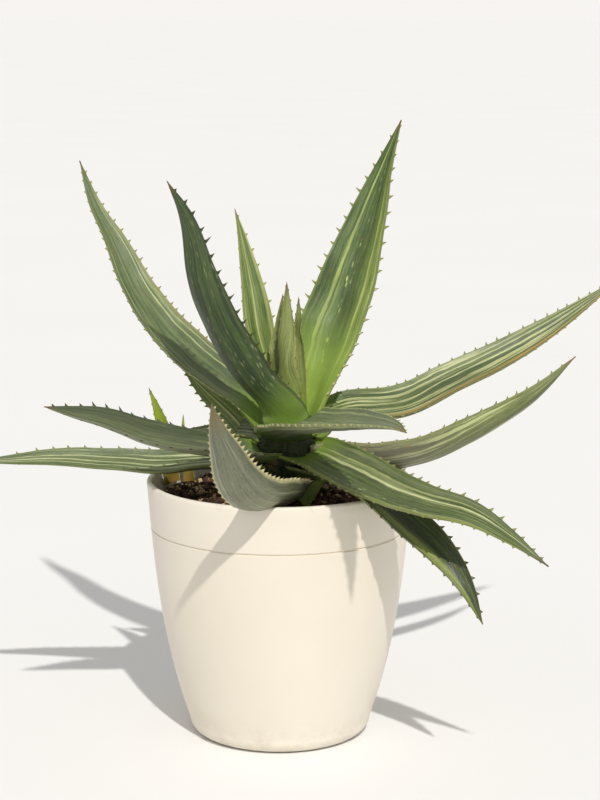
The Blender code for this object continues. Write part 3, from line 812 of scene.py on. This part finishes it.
def pot_profile():
    """From the middle of the floor inside, over the lip, down the wall and under the foot."""
    lip = WALL / 2
    heights = np.linspace(12 * MM, 130 * MM, 16)
    inside = [(8 * MM, FLOOR_TOP), (wall_radius(FLOOR_TOP) - WALL - 4 * MM, FLOOR_TOP)]
    inside += [(wall_radius(z) - WALL, z) for z in heights]
    crown = arc((RIM_RADIUS - lip, POT_HEIGHT - lip), lip, 170, 5, 12)
    deep = [(wall_radius(GROOVE_Z) - GROOVE_DEPTH, GROOVE_Z)]
    half = GROOVE_WIDTH / 2
    groove = [(wall_radius(GROOVE_Z + s * half), GROOVE_Z + s * half) for s in (1.35, 0.9)]
    groove += [(wall_radius(GROOVE_Z) - GROOVE_DEPTH * 0.85, GROOVE_Z + half * 0.35)] + deep
    groove += [(wall_radius(GROOVE_Z) - GROOVE_DEPTH * 0.85, GROOVE_Z - half * 0.35)]
    groove += [(wall_radius(GROOVE_Z - s * half), GROOVE_Z - s * half) for s in (0.9, 1.35)]
    above = [(wall_radius(z), z) for z in np.linspace(131 * MM, GROOVE_Z + 3 * MM, 5)]
    below = [(wall_radius(z), z) for z in np.linspace(GROOVE_Z - 3 * MM, FOOT_ROUND + 2 * MM, 24)]
    foot = arc((wall_radius(FOOT_ROUND) - FOOT_ROUND, FOOT_ROUND), FOOT_ROUND, 0, -90, 10)
    return inside + crown + above + groove + below + foot + [(8 * MM, 0)]


def cylinder_cutter(radius, depth, at, turn, upright):
    deselect_all()
    bpy.ops.mesh.primitive_cylinder_add(
        vertices=32, radius=radius, depth=depth,
        location=(at[0] * math.cos(turn), at[0] * math.sin(turn), at[1]),
        rotation=(0, 0 if upright else math.pi / 2, turn))
    return bpy.context.object


def cut_away(thing, cutter):
    boolean = thing.modifiers.new("cut", "BOOLEAN")
    boolean.operation = "DIFFERENCE"
    boolean.solver = "EXACT"
    boolean.object = cutter
    apply_modifier(thing, "cut")
    bpy.data.objects.remove(cutter)


def make_pot():
    pot = turn_profile(pot_profile(), POT_SEGMENTS)
    channel_z = CHANNEL_HEIGHT - CHANNEL_WIDTH / 2
    for number in range(DRAINS):
        turn = DRAIN_FIRST_TURN + number * math.tau / DRAINS
        channel_at = (HOLE_AT + CHANNEL_LENGTH / 2, channel_z)
        cut_away(pot, cylinder_cutter(CHANNEL_WIDTH / 2, CHANNEL_LENGTH, channel_at, turn, False))
        cut_away(pot, cylinder_cutter(HOLE_RADIUS, HOLE_DEPTH, (HOLE_AT, 0), turn, True))
    shade(pot, 35)
    dress(pot, "pot_shell", pot_finish())
    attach(pot, "root")
    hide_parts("pot")


def pot_finish():
    """Cream moulded plastic: faint clouding, satin grain, dust on the foot and soil on the lip."""
    made, tree, shader = new_material("cream_pot", 0.45, 0.4)
    place = add_node(tree, "ShaderNodeTexCoord", out=3)
    cloud = clouds(tree, place, 14, 3)
    colour = mix_colour(tree, rise(tree, cloud, 0.3, 0.7), tint(228, 220, 204), tint(232, 225, 211))
    height = tree.nodes.new("ShaderNodeSeparateXYZ")
    tree.links.new(place, height.inputs[0])
    scuff = clouds(tree, place, 90, 5, 0.7)
    low = rise(tree, height.outputs[2], 22 * MM, 1 * MM)
    dust = maths(tree, "MULTIPLY", low, rise(tree, scuff, 0.42, 0.72))
    colour = mix_colour(tree, maths(tree, "MULTIPLY", dust, 0.35), colour, tint(178, 164, 140))
    at_lip = rise(tree, height.outputs[2], 132 * MM, 137 * MM)
    soil_mark = maths(tree, "MULTIPLY", at_lip, rise(tree, scuff, 0.58, 0.72))
    colour = mix_colour(tree, maths(tree, "MULTIPLY", soil_mark, 0.25), colour, tint(150, 128, 100))
    tree.links.new(colour, shader.inputs["Base Color"])
    tree.links.new(maths(tree, "MULTIPLY_ADD", scuff, 0.18, 0.36), shader.inputs["Roughness"])
    grain = clouds(tree, place, 900, 3, 0.6)
    add_bump(tree, shader, grain, 0.25, 0.06 * MM)
    return made


def soil_height(radius):
    """The crowned top of the soil."""
    edge = wall_radius(SOIL_EDGE_Z) - SOIL_GAP
    above_edge = np.interp(radius / MM, [*CROWN_RADII, edge / MM], [*CROWN_HEIGHTS, 0])
    return SOIL_EDGE_Z + float(above_edge) * MM


def lumps(x, y):
    """How far the soil's crumbled surface stands off its crown."""
    at = Vector((x, y, 0))
    coarse = noise.fractal(at * 90, 0.6, 2.0, 3)
    fine = noise.fractal(at * 420, 0.7, 2.1, 3)
    return coarse * LUMP_COARSE + fine * LUMP_FINE


def make_soil():
    edge = wall_radius(SOIL_EDGE_Z) - SOIL_GAP
    rings = np.linspace(0.4 * MM, edge, 62)
    top = [(r, soil_height(r)) for r in rings]
    side = [(wall_radius(z) - WALL - 0.6 * MM, z) for z in (110 * MM, 80 * MM, 50 * MM, 12.5 * MM)]
    foot_z = FLOOR_TOP + 0.3 * MM
    foot = [(wall_radius(FLOOR_TOP) - WALL - 4.9 * MM, foot_z), (10 * MM, foot_z)]
    soil = turn_profile(top + side + foot, 220)
    places = read_places(soil.data)
    for number, (x, y, z) in enumerate(places):
        if z > SOIL_EDGE_Z - 0.1 * MM:
            calm = min(1, (edge - math.hypot(x, y)) / (4 * MM) + 0.15)
            places[number, 2] += lumps(x, y) * calm
    write_places(soil.data, places)
    shade(soil, 60)
    dress(soil, "soil_plug", soil_finish())
    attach(soil, "root")
    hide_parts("soil")


def soil_finish():
    """Dark peat with brown crumbs and fine grit."""
    made, tree, shader = new_material("potting_soil", 0.95, 0.2)
    place = add_node(tree, "ShaderNodeTexCoord", out=3)
    cloud = clouds(tree, place, 160, 5, 0.65)
    colour = mix_colour(tree, rise(tree, cloud, 0.35, 0.68), tint(34, 25, 18), tint(86, 64, 46))
    bits = add_node(tree, "ShaderNodeTexVoronoi", (place, None, 700.0))
    grit = maths(tree, "MULTIPLY", rise(tree, bits, 0.22, 0.1), 0.6)
    colour = mix_colour(tree, grit, colour, tint(150, 122, 88))
    tree.links.new(colour, shader.inputs["Base Color"])
    add_bump(tree, shader, clouds(tree, place, 800, 5, 0.7), 0.8, 0.5 * MM)
    return made


def grain_finish(name, dark, light):
    """One loose material, whose grains differ in colour and have dark pits."""
    made, tree, shader = new_material(name, 0.85, 0.3)
    place = add_node(tree, "ShaderNodeTexCoord", out=3)
    per_grain = clouds(tree, place, 260, 1)
    fine = clouds(tree, place, 1500, 4, 0.7)
    colour = mix_colour(tree, rise(tree, per_grain, 0.36, 0.64), dark, light)
    pits = maths(tree, "MULTIPLY", rise(tree, fine, 0.5, 0.7), 0.3)
    colour = mix_colour(tree, pits, colour, tuple(c * 0.45 for c in dark))
    tree.links.new(colour, shader.inputs["Base Color"])
    add_bump(tree, shader, fine, 0.6, 0.2 * MM)
    return made


def scatter_grains(name, finish, count, sizes, seed, keep):
    """Copies one lumpy grain over the soil, each copy turned, stretched and partly sunk.

    Sizes are the smallest, largest and commonest radius in mm, and keep gives the share of grains
    that stay at a place.
    """
    rng = random.Random(seed)
    deselect_all()
    bpy.ops.mesh.primitive_ico_sphere_add(subdivisions=2, radius=1)
    grain = bpy.context.object
    seedling = read_places(grain.data)
    for number, place in enumerate(seedling):
        seedling[number] = place * (1 + 0.28 * noise.noise(Vector(place) * 1.3 + Vector((seed, 0, 0))))
    faces = [tuple(face.vertices) for face in grain.data.polygons]
    bpy.data.objects.remove(grain)
    places, all_faces = [], []
    reach = wall_radius(SOIL_EDGE_Z) - GRAIN_EDGE_GAP
    clear_of_stem = STEM_RADIUS + GRAIN_STEM_GAP
    while len(places) < count:
        radius, turn = reach * math.sqrt(rng.random()), rng.uniform(0, math.tau)
        x, y = radius * math.cos(turn), radius * math.sin(turn)
        size = rng.triangular(*sizes) * MM
        spin = Vector((rng.random(), rng.random(), rng.random())).normalized()
        stretch = np.array([rng.uniform(0.75, 1.35), rng.uniform(0.6, 1.1), rng.uniform(0.5, 0.9)])
        angle = rng.uniform(0, math.tau)
        if rng.random() > keep(x, y) or math.hypot(x - STEM_AT.x, y) < clear_of_stem:
            continue
        axis = np.array(spin)
        shape = seedling * stretch * size
        shape = (shape * math.cos(angle) + np.cross(axis, shape) * math.sin(angle)
                 + np.outer(shape @ axis, axis) * (1 - math.cos(angle)))
        lift = soil_height(radius) + lumps(x, y) + size * 0.25
        all_faces += [tuple(v + len(seedling) * len(places) for v in face) for face in faces]
        places.append(shape + (x, y, lift))
    mesh = bpy.data.meshes.new(name)
    mesh.from_pydata(np.concatenate(places).tolist(), [], all_faces)
    made = bpy.data.objects.new(name, mesh)
    bpy.context.scene.collection.objects.link(made)
    shade(made, 40)
    dress(made, name, finish)
    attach(made, "root")


def make_grains():
    """Peat crumbs all over, and gravel that lies mostly at the left."""
    crumb = grain_finish("peat_crumb", tint(48, 34, 25), tint(98, 72, 50))
    gravel = grain_finish("tan_grit", tint(150, 126, 96), tint(206, 184, 146))
    scatter_grains("peat_crumbs", crumb, 620, (0.7, 2.6, 1.2), 5, lambda x, y: 1)
    scatter_grains("tan_gravel", gravel, 420, (0.45, 1.6, 0.8), 6, lambda x, y: 1.2 if x < -0.02 else 0.25)


def stem_radius(z):
    """The stem with its sheaths: widest where most leaves leave it."""
    if z < STEM_WIDEST_Z:
        return STEM_RADIUS * (0.8 + 0.2 * (z - STEM_LOW_Z) / (STEM_WIDEST_Z - STEM_LOW_Z))
    height = min(1, (z - STEM_WIDEST_Z) / (STEM_TOP_Z - STEM_WIDEST_Z))
    return STEM_RADIUS * max(0.3, math.sqrt(1 - height**2))


def make_stem():
    """The short stem, wrapped in overlapping sheaths of leaf bases."""
    profile = [(1.5 * MM, STEM_TOP_Z + 0.5 * MM)]
    profile += [(stem_radius(z), float(z)) for z in np.linspace(STEM_TOP_Z, STEM_LOW_Z, 64)]
    stem = turn_profile(profile, 120)
    places = read_places(stem.data)
    for number, (x, y, z) in enumerate(places):
        turn = math.atan2(y, x)
        lap = ((z - STEM_LOW_Z) / SHEATH_PITCH + SHEATH_STARTS * turn / math.tau) % 1
        rib = math.cos(turn * SHEATH_RIBS + z * 90)
        rough = noise.fractal(Vector((x * 220, y * 220, z * 70)), 0.6, 2.0, 3)
        swell = 1 + SHEATH_SWELL * (lap - 0.5) + RIB_SWELL * rib + BARK_SWELL * rough
        places[number, :2] = x * swell, y * swell
    places += np.array(STEM_AT)
    write_places(stem.data, places)
    shade(stem, 50)
    dress(stem, "stem_sheaths", stem_finish())
    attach(stem, "root")
    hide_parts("stem")


def stem_finish():
    """Dark green sheaths with upright veins, browned in patches; the greens are darkened further as painted
    shade under the rosette.
    """
    made, tree, shader = new_material("leaf_sheath_painted_shade", 0.6, 0.3)
    place = add_node(tree, "ShaderNodeTexCoord", out=3)
    long_way = add_node(tree, "ShaderNodeMapping", (place, None, None, (420, 420, 60)))
    fibre = clouds(tree, long_way, 1, 4, 0.6)
    # Both greens are darkened as painted shade for the shadow that falls under the rosette.
    colour = mix_colour(tree, rise(tree, fibre, 0.32, 0.68), tint(22, 30, 14), tint(52, 64, 30))
    cloud = clouds(tree, place, 120, 3)
    browned = maths(tree, "MULTIPLY", rise(tree, cloud, 0.56, 0.7), 0.7)
    colour = mix_colour(tree, browned, colour, tint(96, 76, 48))
    tree.links.new(colour, shader.inputs["Base Color"])
    add_bump(tree, shader, fibre, 0.7, 0.5 * MM)
    return made


# Stage.


def make_stage():
    bpy.context.scene.view_settings.view_transform = "Standard"
    deselect_all()
    bpy.ops.mesh.primitive_plane_add(size=FLOOR_SIZE, location=(0, 0, -0.2 * MM))
    floor = bpy.context.object
    made, tree, shader = new_material("pale_floor", 0.75, 0.2)
    place = add_node(tree, "ShaderNodeTexCoord", out=3)
    cloud = clouds(tree, place, 3, 3)
    colour = mix_colour(tree, cloud, tint(238, 238, 238), tint(242, 242, 242))
    tree.links.new(colour, shader.inputs["Base Color"])
    dress(floor, "floor", made)
    make_sky()
    make_sun()


def make_sky():
    """An even pale sky, which the camera sees at the floor's own brightness."""
    world = bpy.data.worlds.new("studio")
    world.use_nodes = True
    tree = world.node_tree
    light = tree.nodes["Background"]
    light.inputs["Color"].default_value = SKY_COLOUR
    light.inputs["Strength"].default_value = SKY_STRENGTH
    seen = tree.nodes.new("ShaderNodeBackground")
    seen.inputs["Color"].default_value = BACKDROP_COLOUR
    join = tree.nodes.new("ShaderNodeMixShader")
    ray = tree.nodes.new("ShaderNodeLightPath")
    tree.links.new(ray.outputs["Is Camera Ray"], join.inputs[0])
    tree.links.new(light.outputs[0], join.inputs[1])
    tree.links.new(seen.outputs[0], join.inputs[2])
    tree.links.new(join.outputs[0], tree.nodes["World Output"].inputs["Surface"])
    bpy.context.scene.world = world


def make_sun():
    lamp = bpy.data.lights.new("key", "SUN")
    lamp.energy = SUN_STRENGTH
    lamp.angle = math.radians(SUN_WIDTH)
    lamp.color = SUN_COLOUR
    made = bpy.data.objects.new("key", lamp)
    made.rotation_euler = SUN_FROM.to_track_quat("Z", "Y").to_euler()
    bpy.context.scene.collection.objects.link(made)


def make_camera():
    lens = bpy.data.cameras.new("camera")
    lens.lens = LENS
    lens.sensor_width = SENSOR
    made = bpy.data.objects.new("camera", lens)
    made.location = CAMERA_AT
    made.rotation_euler = (math.radians(CAMERA_TILT), 0, 0)
    bpy.context.scene.collection.objects.link(made)
    bpy.context.scene.camera = made


make_camera()
make_stage()
make_pot()
make_soil()
make_grains()
make_stem()
for number, (node, leaf) in enumerate(LEAVES.items()):
    make_leaf(node, leaf, 10 + number * 3.7)
